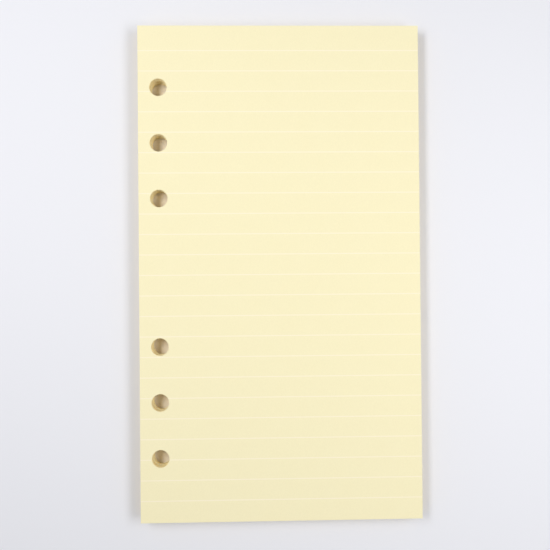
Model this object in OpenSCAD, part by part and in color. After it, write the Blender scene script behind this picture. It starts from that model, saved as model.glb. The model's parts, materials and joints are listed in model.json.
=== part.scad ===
// A pile of loose ruled sheets, punched for a binder with two groups of rings.
// The origin is under the middle of the pile, on the surface that it lies on.
// +X points away from the punched edge, +Y to the head of the sheets and +Z up.

/* [Sheet] */
// Width of a sheet, from the punched edge to the free edge
sheet_width = 96.5; // [80:0.5:150]
// Height of a sheet, from head to foot
sheet_height = 170; // [165:0.5:215]
// Thickness of one sheet
sheet_thickness = 0.12; // [0.08:0.01:0.2]
// Number of sheets in the pile
sheet_count = 45; // [10:1:80]

/* [Ring holes] */
// Diameter of a hole
hole_diameter = 6; // [4:0.1:7]
// Number of holes in each of the two groups
group_size = 3; // [1:1:3]
// Spacing of the holes in a group
hole_pitch = 19.05; // [12:0.05:20]
// Spacing of the two holes that face each other across the middle
middle_gap = 50.8; // [20:0.1:65]
// Distance from the punched edge to the centres of the holes
hole_inset = 6.9; // [5:0.1:12]
// Height of the middle of the row of holes above the middle of the sheet
hole_rise = 0.3; // [-2:0.1:2]

/* [Ruling] */
// Distance from the head of the sheet to its first line
head_margin = 8.6; // [5:0.1:30]
// Least distance from the last line to the foot of the sheet
foot_margin = 5; // [3:0.5:30]
// Spacing of the lines
line_pitch = 7; // [5:0.5:12]
// Width of a line
line_width = 0.35; // [0.1:0.05:0.8]
// Depth that the ink of a line reaches into the paper
ink_depth = 0.03; // [0.01:0.01:0.06]

/* [Pile] */
// Number of lifts, the small piles that went through the punch together
lift_count = 4; // [1:1:10]
// Slip of a lift against the rest of the pile
lift_slip = 0.15; // [0:0.01:0.4]
// Slip of a sheet within its lift
sheet_slip = 0.05; // [0:0.01:0.2]

/* [Hidden] */

// How far a cut runs past the paper
cut_overrun = 1;
// Turns that scatter the slips of the lifts and of the sheets, sideways and lengthways
lift_turns = [215, 200];
sheet_turns = [101, 157];

pile_height = sheet_count * sheet_thickness;
top_sheet = sheet_count - 1;

// Places of the holes and the lines, as heights above the middle of the sheet
hole_rows = [
    for (side = [1, -1], n = [0 : group_size - 1])
        hole_rise + side * (middle_gap / 2 + n * hole_pitch)
];
first_line = sheet_height / 2 - head_margin;
line_count = 1 + floor((sheet_height - head_margin - foot_margin) / line_pitch);
line_rows = [for (n = [0 : line_count - 1]) first_line - n * line_pitch];

// Slip of a sheet against the uppermost one, which lies square
function below_top(sheet) = top_sheet - sheet;
function lift_of(sheet) = floor(below_top(sheet) * lift_count / sheet_count);
function scatter(n, turns) = [sin(n * turns.x), sin(n * turns.y)];
function slip(sheet) =
    lift_slip * scatter(lift_of(sheet), lift_turns)
    + sheet_slip * scatter(below_top(sheet), sheet_turns);

module sheet_blank(sheet) {
    translate(concat(slip(sheet), sheet * sheet_thickness))
        linear_extrude(sheet_thickness)
            square([sheet_width, sheet_height], center = true);
}

module punched_holes() {
    for (row = hole_rows)
        translate([hole_inset - sheet_width / 2, row, -cut_overrun])
            cylinder(d = hole_diameter, h = pile_height + 2 * cut_overrun, $fn = 64);
}

// The lines of one sheet from edge to edge, between two heights, each end run out by an overrun
module lines(sheet, bottom, top, overrun = 0) {
    for (row = line_rows)
        translate(concat(slip(sheet) + [0, row], bottom))
            linear_extrude(top - bottom)
                square([sheet_width + 2 * overrun, line_width], center = true);
}

module front_lines(overrun = 0) {
    lines(top_sheet, pile_height - ink_depth, pile_height + overrun, overrun);
}

module back_lines(overrun = 0) {
    lines(0, -overrun, ink_depth, overrun);
}

// All sheets as one body, with the lines let into its two faces
module sheets() {
    color("lemonchiffon")
        difference() {
            for (sheet = [0 : top_sheet]) sheet_blank(sheet);
            punched_holes();
            front_lines(cut_overrun);
            back_lines(cut_overrun);
        }
}

module front_ruling() {
    color("ivory")
        difference() {
            front_lines();
            punched_holes();
        }
}

module back_ruling() {
    color("ivory")
        difference() {
            back_lines();
            punched_holes();
        }
}

sheets();
front_ruling();
back_ruling();
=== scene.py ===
"""Loose ruled sheets for a ring binder: the paper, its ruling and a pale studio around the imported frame."""

import json
import math

import bpy
from bpy.props import FloatProperty, FloatVectorProperty, IntProperty, PointerProperty
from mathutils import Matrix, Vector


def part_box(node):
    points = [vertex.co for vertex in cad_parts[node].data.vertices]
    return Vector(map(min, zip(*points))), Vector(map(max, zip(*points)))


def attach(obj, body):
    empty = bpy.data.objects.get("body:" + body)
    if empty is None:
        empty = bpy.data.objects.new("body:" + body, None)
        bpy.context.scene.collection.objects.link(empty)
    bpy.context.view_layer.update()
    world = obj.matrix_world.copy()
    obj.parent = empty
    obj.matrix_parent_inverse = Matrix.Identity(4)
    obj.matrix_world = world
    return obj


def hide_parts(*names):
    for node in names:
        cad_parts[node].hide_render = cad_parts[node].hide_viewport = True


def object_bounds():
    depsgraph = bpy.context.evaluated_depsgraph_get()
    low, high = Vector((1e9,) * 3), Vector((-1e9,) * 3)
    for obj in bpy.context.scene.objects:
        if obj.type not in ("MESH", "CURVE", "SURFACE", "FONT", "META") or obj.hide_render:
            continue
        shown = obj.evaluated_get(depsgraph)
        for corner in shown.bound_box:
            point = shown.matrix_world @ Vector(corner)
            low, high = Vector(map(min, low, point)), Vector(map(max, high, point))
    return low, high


bl_info = {
    "name": "Binder Refill Paper",
    "version": (1, 0),
    "blender": (4, 5, 0),
    "location": "3D View > Sidebar > Refill Paper",
    "description": "Builds a pile of loose ruled sheets that are punched for a ring binder",
    "category": "Add Mesh",
}

MM = 0.001

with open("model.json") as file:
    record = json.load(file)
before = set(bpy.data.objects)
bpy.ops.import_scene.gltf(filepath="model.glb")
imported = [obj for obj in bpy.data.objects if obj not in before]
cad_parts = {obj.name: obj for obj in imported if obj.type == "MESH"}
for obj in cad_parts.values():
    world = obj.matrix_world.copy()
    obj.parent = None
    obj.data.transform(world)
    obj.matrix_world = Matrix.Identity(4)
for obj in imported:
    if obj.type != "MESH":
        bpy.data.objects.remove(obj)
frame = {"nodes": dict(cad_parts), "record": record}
frame_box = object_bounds()
record = frame["record"]

# Places that the frame gives: the holes, the edges of the uppermost sheet and the pile's height
ring_holes = [mount for mount in record["mounts"] if mount["kind"] == "bore"]
hole_radius = ring_holes[0]["dims"]["r_mm"] * MM
ruling_low, ruling_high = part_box("front_ruling")
# The paper runs this far past the ends of the ink, so that no two faces lie in one place
INK_STOPS_SHORT = 0.003 * MM
sheet_width = ruling_high.x - ruling_low.x + 2 * INK_STOPS_SHORT
pile_height = ruling_high.z

# Turns that scatter the slips of the lifts, sideways, lengthways and round, and of the sheets
LIFT_TURNS = [math.radians(turn) for turn in (215, 200, 120)]
SHEET_TURNS = [math.radians(turn) for turn in (101, 157)]


class PileSettings(bpy.types.PropertyGroup):
    """Sizes of the sheets and of the way they lie on each other"""

    sheet_width: FloatProperty(
        name="Sheet Width",
        description="From the punched edge to the free edge",
        default=sheet_width, unit="LENGTH", precision=5,
    )
    sheet_height: FloatProperty(
        name="Sheet Height",
        description="From head to foot",
        default=170 * MM, unit="LENGTH", precision=5,
    )
    pile_height: FloatProperty(
        name="Pile Height",
        description="Thickness of the whole pile",
        default=pile_height, unit="LENGTH", precision=5,
    )
    sheet_count: IntProperty(
        name="Sheets",
        description="Number of sheets in the pile",
        default=45, min=2, max=200,
    )
    air_gap: FloatProperty(
        name="Air Gap",
        description="Air between two sheets",
        default=0.006 * MM, unit="LENGTH", precision=6,
    )
    hole_radius: FloatProperty(
        name="Hole Radius",
        description="Radius of a punched hole",
        default=hole_radius, unit="LENGTH", precision=5,
    )
    hole_sides: IntProperty(
        name="Hole Sides",
        description="Number of flat sides that make a hole round",
        default=64, min=12, max=128,
    )
    lift_count: IntProperty(
        name="Lifts",
        description="Number of small piles that went through the punch together",
        default=4, min=1, max=20,
    )
    lift_slip: FloatProperty(
        name="Lift Slip",
        description="Slip of a lift against the rest of the pile",
        default=0.15 * MM, unit="LENGTH", precision=5,
    )
    sheet_slip: FloatProperty(
        name="Sheet Slip",
        description="Slip of a sheet within its lift",
        default=0.05 * MM, unit="LENGTH", precision=5,
    )
    lift_skew: FloatProperty(
        name="Lift Skew",
        description="Turn of a lift against the uppermost sheet",
        default=math.radians(0.05), unit="ROTATION", precision=4,
    )


class PaperSettings(bpy.types.PropertyGroup):
    """Colours and surface of the paper and of the ink on it"""

    paper_color: FloatVectorProperty(
        name="Paper",
        description="Colour of the paper's face",
        default=(0.915, 0.845, 0.56), subtype="COLOR", size=3, min=0.0, max=1.0,
    )
    cloud_color: FloatVectorProperty(
        name="Paper Clouds",
        description="Colour of the paper where its fibres lie thicker",
        default=(0.905, 0.832, 0.54), subtype="COLOR", size=3, min=0.0, max=1.0,
    )
    # The cut edges' own colour, deepened and warmed past the face's so that it also stands in for warm light
    # bounced inside the holes: partly painted glow
    edge_color_and_painted_glow: FloatVectorProperty(
        name="Cut Edge",
        description="Colour of the paper's cut edges",
        default=(0.96, 0.77, 0.38), subtype="COLOR", size=3, min=0.0, max=1.0,
    )
    ink_color: FloatVectorProperty(
        name="Ruling",
        description="Colour of the printed lines",
        default=(0.965, 0.882, 0.668), subtype="COLOR", size=3, min=0.0, max=1.0,
    )
    roughness: FloatProperty(
        name="Roughness",
        description="Roughness of the uncoated paper",
        default=0.82, min=0.0, max=1.0, subtype="FACTOR",
    )
    fibre_size: FloatProperty(
        name="Fibre Size",
        description="Size of the fibres that show in the paper's face",
        default=0.25 * MM, unit="LENGTH", precision=5,
    )
    cloud_size: FloatProperty(
        name="Cloud Size",
        description="Size of the paler and deeper clouds in the paper",
        default=6 * MM, unit="LENGTH", precision=4,
    )


class StageSettings(bpy.types.PropertyGroup):
    """Floor, lamps and camera"""

    floor_size: FloatProperty(
        name="Floor Size",
        description="Side of the square floor",
        default=6.0, unit="LENGTH",
    )
    floor_color: FloatVectorProperty(
        name="Floor",
        description="Colour of the floor",
        default=(0.82, 0.825, 0.87), subtype="COLOR", size=3, min=0.0, max=1.0,
    )
    # Painted light: the floor under the pile is coloured warmer to stand in for light that comes through the
    # paper and bounces in the holes
    painted_glow_floor_color: FloatVectorProperty(
        name="Floor in the Holes",
        description="Colour of the floor under the pile, warmed by light that comes through the paper",
        default=(0.95, 0.89, 0.78), subtype="COLOR", size=3, min=0.0, max=1.0,
    )
    sky_strength: FloatProperty(
        name="Ambient Light",
        description="Strength of the light from all around",
        default=0.62, min=0.0,
    )
    left_power: FloatProperty(
        name="Left Lamp",
        description="Power of the soft lamp beside the punched edge",
        default=0.56, min=0.0, unit="POWER",
    )
    right_power: FloatProperty(
        name="Right Lamp",
        description="Power of the soft lamp beside the free edge",
        default=0.45, min=0.0, unit="POWER",
    )


def wired(tree, kind, inputs=None, **settings):
    """Adds a node, sets its settings, and sets or links its inputs."""
    made = tree.nodes.new(kind)
    for name, value in settings.items():
        setattr(made, name, value)
    for key, value in (inputs or {}).items():
        if isinstance(value, bpy.types.NodeSocket):
            tree.links.new(value, made.inputs[key])
        else:
            made.inputs[key].default_value = value
    return made


def math_of(tree, operation, first, second=0.0):
    """The output of a Math node on two values or sockets."""
    made = wired(tree, "ShaderNodeMath", {0: first, 1: second}, operation=operation)
    return made.outputs[0]


def xyz(tree, x, y, z=0.0):
    """The vector of three values or sockets."""
    return wired(tree, "ShaderNodeCombineXYZ", {0: x, 1: y, 2: z}).outputs[0]


def scaled(tree, vector, factor):
    """The output of a vector times a value or socket."""
    made = wired(tree, "ShaderNodeVectorMath", {0: vector, 3: factor}, operation="SCALE")
    return made.outputs[0]


def added(tree, first, second):
    """The output of the sum of two vectors."""
    made = wired(tree, "ShaderNodeVectorMath", {0: first, 1: second}, operation="ADD")
    return made.outputs[0]


def ranged(tree, value, source, target, **settings):
    """A value moved from one range to another and held within it."""
    made = wired(tree, "ShaderNodeMapRange", {
        "Value": value,
        "From Min": source[0],
        "From Max": source[1],
        "To Min": target[0],
        "To Max": target[1],
    }, **settings)
    return made.outputs[0]


def joined(tree, first, second):
    """The geometry of two sockets together."""
    made = tree.nodes.new("GeometryNodeJoinGeometry")
    for each in (first, second):
        tree.links.new(each, made.inputs[0])
    return made.outputs[0]


def new_tree(name, inputs):
    """An empty geometry tree with named inputs, and its input and output nodes."""
    tree = bpy.data.node_groups.new(name, "GeometryNodeTree")
    tree.interface.new_socket("Geometry", in_out="INPUT", socket_type="NodeSocketGeometry")
    for label, kind in inputs:
        tree.interface.new_socket(label, in_out="INPUT", socket_type=kind)
    tree.interface.new_socket("Geometry", in_out="OUTPUT", socket_type="NodeSocketGeometry")
    given = tree.nodes.new("NodeGroupInput")
    made = tree.nodes.new("NodeGroupOutput")
    return tree, given, made


LENGTH, COUNT, ANGLE = "NodeSocketFloat", "NodeSocketInt", "NodeSocketFloat"
# Inputs of the pile's tree, each with its kind and with the setting that it takes
PILE_INPUTS = {
    "Sheet Width": (LENGTH, "sheet_width"),
    "Sheet Height": (LENGTH, "sheet_height"),
    "Pile Height": (LENGTH, "pile_height"),
    "Sheets": (COUNT, "sheet_count"),
    "Air Gap": (LENGTH, "air_gap"),
    "Hole Radius": (LENGTH, "hole_radius"),
    "Hole Sides": (COUNT, "hole_sides"),
    "Lifts": (COUNT, "lift_count"),
    "Lift Slip": (LENGTH, "lift_slip"),
    "Sheet Slip": (LENGTH, "sheet_slip"),
    "Lift Skew": (ANGLE, "lift_skew"),
}
# Edges bent by more than this stay sharp
SHARP_ANGLE = math.radians(40)
# Corners closer than this are one, where a sheet's underside meets its cut edges
WELD_DISTANCE = 0.001 * MM
# Seed of the tones that tell one sheet's cut edge from the next
TONE_SEED = 7


def punched_sheet(tree, given, thickness):
    """Nodes for one flat sheet with a hole at each point of the input, lying on height zero."""
    outline = wired(tree, "GeometryNodeCurvePrimitiveQuadrilateral", {
        "Width": given.outputs["Sheet Width"],
        "Height": given.outputs["Sheet Height"],
    })
    circle = wired(tree, "GeometryNodeCurvePrimitiveCircle", {
        "Resolution": given.outputs["Hole Sides"],
        "Radius": given.outputs["Hole Radius"],
    })
    holes = wired(tree, "GeometryNodeInstanceOnPoints", {
        "Points": given.outputs["Geometry"],
        "Instance": circle.outputs["Curve"],
    })
    real_holes = wired(tree, "GeometryNodeRealizeInstances", {"Geometry": holes.outputs["Instances"]})
    loops = joined(tree, real_holes.outputs["Geometry"], outline.outputs["Curve"])
    face = wired(tree, "GeometryNodeFillCurve", {"Curve": loops})
    raised = wired(tree, "GeometryNodeExtrudeMesh", {
        "Mesh": face.outputs["Mesh"],
        "Offset": xyz(tree, 0.0, 0.0, 1.0),
        "Offset Scale": thickness,
        "Individual": False,
    }, mode="FACES")
    underside = wired(tree, "GeometryNodeFlipFaces", {"Mesh": face.outputs["Mesh"]})
    closed = wired(tree, "GeometryNodeMergeByDistance", {
        "Geometry": joined(tree, underside.outputs["Mesh"], raised.outputs["Mesh"]),
        "Distance": WELD_DISTANCE,
    })
    smooth = wired(tree, "GeometryNodeSetShadeSmooth", {
        "Geometry": closed.outputs["Geometry"],
        "Shade Smooth": True,
    }, domain="FACE")
    edge_angle = tree.nodes.new("GeometryNodeInputMeshEdgeAngle").outputs[0]
    sharp = wired(tree, "GeometryNodeSetShadeSmooth", {
        "Geometry": smooth.outputs["Geometry"],
        "Selection": math_of(tree, "GREATER_THAN", edge_angle, SHARP_ANGLE),
        "Shade Smooth": False,
    }, domain="EDGE")
    return sharp.outputs["Geometry"]


def sheet_places(tree, given, pitch):
    """Nodes for one point to a sheet, each with its slips, and the skew of its lift."""
    count = given.outputs["Sheets"]
    line = wired(tree, "GeometryNodeMeshLine", {
        "Count": count,
        "Offset": xyz(tree, 0.0, 0.0, pitch),
    }, mode="OFFSET")
    top = math_of(tree, "SUBTRACT", count, 1.0)
    below = math_of(tree, "SUBTRACT", top, tree.nodes.new("GeometryNodeInputIndex").outputs[0])
    lifts_below = math_of(tree, "MULTIPLY", below, given.outputs["Lifts"])
    lift = math_of(tree, "FLOOR", math_of(tree, "DIVIDE", lifts_below, count))

    def scatter(number, turn):
        return math_of(tree, "SINE", math_of(tree, "MULTIPLY", number, turn))

    *lift_turns, skew_turn = LIFT_TURNS
    lift_way = xyz(tree, *[scatter(lift, turn) for turn in lift_turns])
    sheet_way = xyz(tree, *[scatter(below, turn) for turn in SHEET_TURNS])
    lift_slip = scaled(tree, lift_way, given.outputs["Lift Slip"])
    sheet_slip = scaled(tree, sheet_way, given.outputs["Sheet Slip"])
    placed = wired(tree, "GeometryNodeSetPosition", {
        "Geometry": line.outputs["Mesh"],
        "Offset": added(tree, lift_slip, sheet_slip),
    })
    skew = math_of(tree, "MULTIPLY", scatter(lift, skew_turn), given.outputs["Lift Skew"])
    return placed.outputs["Geometry"], skew


def pile_tree(material):
    """The geometry tree that punches one sheet and lays it down once for each sheet of the pile."""
    inputs = [(label, kind) for label, (kind, _) in PILE_INPUTS.items()]
    tree, given, made = new_tree("Pile of Punched Sheets", inputs)
    pitch = math_of(tree, "DIVIDE", given.outputs["Pile Height"], given.outputs["Sheets"])
    gap = given.outputs["Air Gap"]
    thickness = math_of(tree, "SUBTRACT", pitch, gap)
    sheet = punched_sheet(tree, given, thickness)
    places, skew = sheet_places(tree, given, pitch)
    pile = wired(tree, "GeometryNodeInstanceOnPoints", {
        "Points": places,
        "Instance": sheet,
        "Rotation": xyz(tree, 0.0, 0.0, skew),
    })
    tone = wired(tree, "FunctionNodeRandomValue", {"Seed": TONE_SEED}, data_type="FLOAT")
    toned = wired(tree, "GeometryNodeStoreNamedAttribute", {
        "Geometry": pile.outputs["Instances"],
        "Name": "tone",
        "Value": tone.outputs[1],
    }, data_type="FLOAT", domain="INSTANCE")
    raised = wired(tree, "GeometryNodeTranslateInstances", {
        "Instances": toned.outputs["Geometry"],
        "Translation": xyz(tree, 0.0, 0.0, math_of(tree, "DIVIDE", gap, 2.0)),
        "Local Space": False,
    })
    real = wired(tree, "GeometryNodeRealizeInstances", {"Geometry": raised.outputs["Instances"]})
    coloured = wired(tree, "GeometryNodeSetMaterial", {
        "Geometry": real.outputs["Geometry"],
        "Material": material,
    })
    tree.links.new(coloured.outputs["Geometry"], made.inputs["Geometry"])
    return tree


def grown(name, points, tree, inputs, settings):
    """A plain mesh that a geometry tree makes from points, with its inputs set from the settings."""
    seed = bpy.data.meshes.new(name + "_points")
    seed.from_pydata(points, [], [])
    draft = bpy.data.objects.new(name + "_draft", seed)
    bpy.context.scene.collection.objects.link(draft)
    modifier = draft.modifiers.new("Build", "NODES")
    modifier.node_group = tree
    for item in tree.interface.items_tree:
        if item.in_out == "INPUT" and item.name in inputs:
            modifier[item.identifier] = getattr(settings, inputs[item.name][1])
    evaluated = draft.evaluated_get(bpy.context.evaluated_depsgraph_get())
    mesh = bpy.data.meshes.new_from_object(evaluated)
    mesh.name = name
    bpy.data.objects.remove(draft)
    bpy.data.meshes.remove(seed)
    piece = bpy.data.objects.new(name, mesh)
    bpy.context.scene.collection.objects.link(piece)
    return piece


# Strength of the sheen of paper, ink and floor, where 0.5 is that of plain plastic
SPECULAR = 0.3
# Fineness of the noise in the paper's clouds and fibres, and the fibres' stretch along X, Y and Z
CLOUD_DETAIL, FIBRE_DETAIL = 4.0, 6.0
FIBRE_STRETCH = (1.0, 0.45, 1.0)
# Range of a value that is a share
WHOLE_RANGE = (0.0, 1.0)
# Part of the fibres' noise that shows in the paper's face, and the range of tones that it makes there
FIBRE_NOISE, FIBRE_TONES = (0.3, 0.7), (0.985, 1.015)
# Tones of the cut edges, from the deepest sheet to the palest
EDGE_TONES = (0.93, 1.03)
# Part of the noise that thins the ink, and the range of the paper's share in the colour there
THIN_INK_NOISE, THIN_INK_SHARES = (0.45, 0.75), (0.0, 0.35)
# Height of the fibres, and how strongly they show in the paper and in the ink
FIBRE_HEIGHT = 0.02 * MM
PAPER_RELIEF, INK_RELIEF = 0.35, 0.25
# Least upright part of the normal on a sheet's face, which tells the face from the cut edges
LEAST_UPRIGHT = 0.5
FLOOR_ROUGHNESS = 0.9


def opaque(colour):
    """A colour with an alpha of one."""
    return (*colour, 1.0)


def blank_material(name, roughness):
    """A material with a bare shader, its tree, its shader and its object coordinates."""
    material = bpy.data.materials.new(name)
    material.use_nodes = True
    tree = material.node_tree
    shader = tree.nodes["Principled BSDF"]
    shader.inputs["Roughness"].default_value = roughness
    shader.inputs["Specular IOR Level"].default_value = SPECULAR
    place = tree.nodes.new("ShaderNodeTexCoord").outputs["Object"]
    return material, tree, shader, place


def noise(tree, place, size, detail, stretch=None):
    """The value of a noise whose lumps have a real size."""
    if stretch:
        place = wired(tree, "ShaderNodeMapping", {"Vector": place, "Scale": stretch}).outputs[0]
    made = wired(tree, "ShaderNodeTexNoise", {"Vector": place, "Scale": 1.0 / size, "Detail": detail})
    return made.outputs["Fac"]


def blended(tree, factor, first, second):
    """The colour between two colours or sockets."""
    made = wired(tree, "ShaderNodeMix", {0: factor, 6: first, 7: second}, data_type="RGBA")
    return made.outputs[2]


def add_relief(tree, shader, fibres, strength):
    """Gives the shader's surface the height of its fibres."""
    bump = wired(tree, "ShaderNodeBump", {
        "Height": fibres, "Strength": strength, "Distance": FIBRE_HEIGHT,
    })
    tree.links.new(bump.outputs[0], shader.inputs["Normal"])


def paper_material(settings):
    """Uncoated cream paper: clouds of thicker pulp, fine fibres, and cut edges that differ by sheet."""
    material, tree, shader, place = blank_material("cream_paper", settings.roughness)
    clouds = noise(tree, place, settings.cloud_size, CLOUD_DETAIL)
    fibres = noise(tree, place, settings.fibre_size, FIBRE_DETAIL, FIBRE_STRETCH)
    clouded = blended(tree, clouds, opaque(settings.paper_color), opaque(settings.cloud_color))
    face = scaled(tree, clouded, ranged(tree, fibres, FIBRE_NOISE, FIBRE_TONES))

    tone = wired(tree, "ShaderNodeAttribute", attribute_name="tone")
    edge_tone = ranged(tree, tone.outputs["Fac"], WHOLE_RANGE, EDGE_TONES)
    # Cut edges: their own colour deepened into a partly painted warm glow, times a random tone for each sheet
    edge = scaled(tree, tuple(settings.edge_color_and_painted_glow), edge_tone)
    normal = tree.nodes.new("ShaderNodeTexCoord").outputs["Normal"]
    upright = wired(tree, "ShaderNodeSeparateXYZ", {0: normal}).outputs[2]
    is_face = math_of(tree, "GREATER_THAN", math_of(tree, "ABSOLUTE", upright), LEAST_UPRIGHT)
    tree.links.new(blended(tree, is_face, edge, face), shader.inputs["Base Color"])
    add_relief(tree, shader, fibres, PAPER_RELIEF)
    return material


def ink_material(settings):
    """Off-white printed line that lets a little of the paper through."""
    material, tree, shader, place = blank_material("ruling_ink", settings.roughness)
    fibres = noise(tree, place, settings.fibre_size, FIBRE_DETAIL)
    thin = ranged(tree, fibres, THIN_INK_NOISE, THIN_INK_SHARES)
    colour = blended(tree, thin, opaque(settings.ink_color), opaque(settings.paper_color))
    tree.links.new(colour, shader.inputs["Base Color"])
    add_relief(tree, shader, fibres, INK_RELIEF)
    return material


class REFILL_OT_sheets(bpy.types.Operator):
    """Lay down the pile of punched sheets"""

    bl_idname = "refill.sheets"
    bl_label = "Add Sheets"

    def execute(self, context):
        scene = context.scene
        material = paper_material(scene.refill_paper)
        centres = [(mount["pos_m"][0], mount["pos_m"][1], 0.0) for mount in ring_holes]
        pile = grown("pile_of_sheets", centres, pile_tree(material), PILE_INPUTS, scene.refill_pile)
        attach(pile, "root")
        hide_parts("sheets")
        return {"FINISHED"}


class REFILL_OT_ruling(bpy.types.Operator):
    """Print the ruling on both faces of the pile"""

    bl_idname = "refill.ruling"
    bl_label = "Print Ruling"

    def execute(self, context):
        ink = ink_material(context.scene.refill_paper)
        for name in ("front_ruling", "back_ruling"):
            lines = frame["nodes"][name]
            lines.data.materials.clear()
            lines.data.materials.append(ink)
        return {"FINISHED"}


CAMERA_PLACE = (-5.77 * MM, -1.98 * MM, 194.08 * MM)
CAMERA_TURN = [math.radians(turn) for turn in (0.363, -1.191, -0.501)]
# Nearest distance that the camera sees
CAMERA_NEAR = 1 * MM
# Focal length and width of the film, both in millimetres
LENS = 36.0
FILM = 36.0
# Place, tilt, width and length of each strip lamp, which stands beside the pile and leans over it
LAMPS = {
    "left": ((-185 * MM, 85 * MM, 290 * MM), math.radians(-33), 85 * MM, 250 * MM),
    "right": ((205 * MM, -15 * MM, 255 * MM), math.radians(39), 100 * MM, 240 * MM),
}
# The light from all around comes from the two sides: this far aside it begins and is full, and this
# share of it is left between
SKY_BEGINS, SKY_FULL, SKY_LEAST_SHARE = 0.15, 0.6, 0.28
WHITE = (1.0, 1.0, 1.0, 1.0)
# The background that the camera sees, and the ring round the pile in which the floor fades into it
BACKGROUND = (0.9, 0.9, 0.915, 1.0)
FADE_BEGINS, FADE_ENDS = 0.145, 0.3
# The floor lies this little below the pile, so that it shares no face with the ink on the pile's back
FLOOR_GAP = 0.01 * MM
# Share of the pile's length and width under which the floor has its painted warm glow, which stands in for
# light that comes through the paper
PAINTED_GLOW_SHARE = 0.98


def sees_background(tree):
    """One for a ray that shows the background as it is, and zero for one that only brings light."""
    rays = tree.nodes.new("ShaderNodeLightPath").outputs
    shown = math_of(tree, "MAXIMUM", rays["Is Camera Ray"], rays["Is Glossy Ray"])
    return math_of(tree, "MAXIMUM", shown, rays["Is Transmission Ray"])


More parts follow.
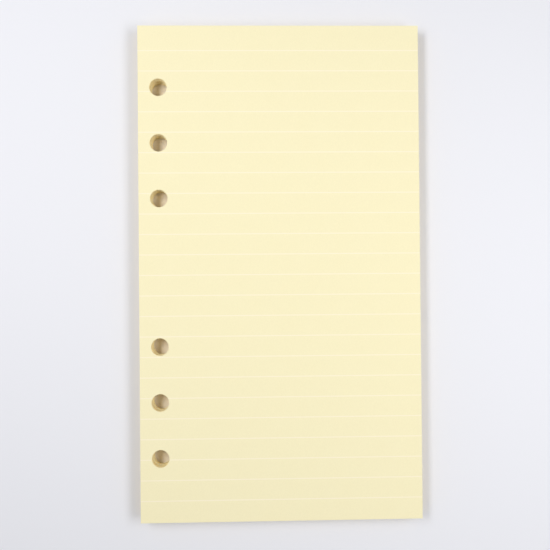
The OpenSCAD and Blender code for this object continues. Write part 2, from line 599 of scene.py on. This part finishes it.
class REFILL_OT_stage(bpy.types.Operator):
    """Add the floor, the lamps and the camera"""

    bl_idname = "refill.stage"
    bl_label = "Add Stage"

    def execute(self, context):
        scene = context.scene
        settings = scene.refill_stage
        self.add_floor(scene, settings)
        self.add_sky(scene, settings)
        for name, (place, tilt, width, length) in LAMPS.items():
            power = getattr(settings, name + "_power")
            self.add_lamp(scene, name + "_lamp", place, tilt, width, length, power)
        self.add_camera(scene)
        scene.view_settings.view_transform = "Standard"
        return {"FINISHED"}

    def add_floor(self, scene, settings):
        """A plain square just under the pile."""
        half = settings.floor_size / 2
        mesh = bpy.data.meshes.new("floor")
        square = [(-half, -half), (half, -half), (half, half), (-half, half)]
        mesh.from_pydata([(*corner, -FLOOR_GAP) for corner in square], [], [(0, 1, 2, 3)])
        floor = bpy.data.objects.new("floor", mesh)
        scene.collection.objects.link(floor)
        mesh.materials.append(self.floor_material(settings))

    def floor_material(self, settings):
        """Matt floor with a painted warm glow under the pile, faded into the background far from it."""
        material, tree, shader, place = blank_material("pale_floor", FLOOR_ROUGHNESS)
        parts = wired(tree, "ShaderNodeSeparateXYZ", {0: place}).outputs
        # Painted glow: under the pile the floor takes a warmer colour in place of light that comes through
        # the paper
        painted_glow_area = math_of(tree, "MULTIPLY", *[
            math_of(tree, "LESS_THAN", math_of(tree, "ABSOLUTE", part), PAINTED_GLOW_SHARE * reach)
            for part, reach in zip(parts, frame_box[1][:2])
        ])
        colour = blended(tree, painted_glow_area, opaque(settings.floor_color), opaque(settings.painted_glow_floor_color))
        tree.links.new(colour, shader.inputs["Base Color"])
        away = wired(tree, "ShaderNodeVectorMath", {0: place}, operation="LENGTH").outputs["Value"]
        ring = (FADE_BEGINS, FADE_ENDS)
        fade = ranged(tree, away, ring, WHOLE_RANGE, interpolation_type="SMOOTHSTEP")
        faded = math_of(tree, "MULTIPLY", fade, sees_background(tree))
        far = wired(tree, "ShaderNodeEmission", {"Color": BACKGROUND, "Strength": 1.0})
        mix = wired(tree, "ShaderNodeMixShader", {0: faded, 1: shader.outputs[0], 2: far.outputs[0]})
        tree.links.new(mix.outputs[0], tree.nodes["Material Output"].inputs["Surface"])
        return material

    def add_sky(self, scene, settings):
        """Light from all around, most of it from the two sides, before a plain background."""
        world = bpy.data.worlds.new("studio")
        world.use_nodes = True
        tree = world.node_tree
        ambient = tree.nodes["Background"]
        ambient.inputs["Color"].default_value = WHITE
        direction = tree.nodes.new("ShaderNodeTexCoord").outputs["Generated"]
        aside = math_of(tree, "ABSOLUTE", wired(tree, "ShaderNodeSeparateXYZ", {0: direction}).outputs[0])
        strengths = (SKY_LEAST_SHARE * settings.sky_strength, settings.sky_strength)
        strength = ranged(tree, aside, (SKY_BEGINS, SKY_FULL), strengths)
        tree.links.new(strength, ambient.inputs["Strength"])
        seen = wired(tree, "ShaderNodeBackground", {"Color": BACKGROUND, "Strength": 1.0})
        mix = wired(tree, "ShaderNodeMixShader", {
            0: sees_background(tree), 1: ambient.outputs[0], 2: seen.outputs[0],
        })
        tree.links.new(mix.outputs[0], tree.nodes["World Output"].inputs["Surface"])
        scene.world = world

    def add_lamp(self, scene, name, place, tilt, width, length, power):
        """A soft strip lamp that the camera does not see."""
        light = bpy.data.lights.new(name, "AREA")
        light.shape = "RECTANGLE"
        light.size = width
        light.size_y = length
        light.energy = power
        lamp = bpy.data.objects.new(name, light)
        lamp.location = place
        lamp.rotation_euler.y = tilt
        lamp.visible_camera = False
        scene.collection.objects.link(lamp)

    def add_camera(self, scene):
        """The camera, which looks down on the pile."""
        lens = bpy.data.cameras.new("camera")
        lens.lens = LENS
        lens.sensor_width = FILM
        lens.clip_start = CAMERA_NEAR
        camera = bpy.data.objects.new("camera", lens)
        camera.location = CAMERA_PLACE
        camera.rotation_euler = CAMERA_TURN
        scene.collection.objects.link(camera)
        scene.camera = camera


class REFILL_PT_panel(bpy.types.Panel):
    """Lists the steps and the sizes"""

    bl_label = "Refill Paper"
    bl_idname = "REFILL_PT_panel"
    bl_space_type = "VIEW_3D"
    bl_region_type = "UI"
    bl_category = "Refill Paper"

    def draw(self, context):
        scene = context.scene
        for group, operator in (
            (scene.refill_pile, "refill.sheets"),
            (scene.refill_paper, "refill.ruling"),
            (scene.refill_stage, "refill.stage"),
        ):
            box = self.layout.box()
            for name in group.bl_rna.properties.keys():
                if name not in ("rna_type", "name"):
                    box.prop(group, name)
            box.operator(operator)


CLASSES = (
    PileSettings, PaperSettings, StageSettings,
    REFILL_OT_sheets, REFILL_OT_ruling, REFILL_OT_stage,
    REFILL_PT_panel,
)


def register():
    for each in CLASSES:
        bpy.utils.register_class(each)
    bpy.types.Scene.refill_pile = PointerProperty(type=PileSettings)
    bpy.types.Scene.refill_paper = PointerProperty(type=PaperSettings)
    bpy.types.Scene.refill_stage = PointerProperty(type=StageSettings)


def unregister():
    del bpy.types.Scene.refill_stage
    del bpy.types.Scene.refill_paper
    del bpy.types.Scene.refill_pile
    for each in reversed(CLASSES):
        bpy.utils.unregister_class(each)


def main():
    register()
    bpy.ops.refill.stage()
    bpy.ops.refill.sheets()
    bpy.ops.refill.ruling()


if __name__ == "__main__":
    main()
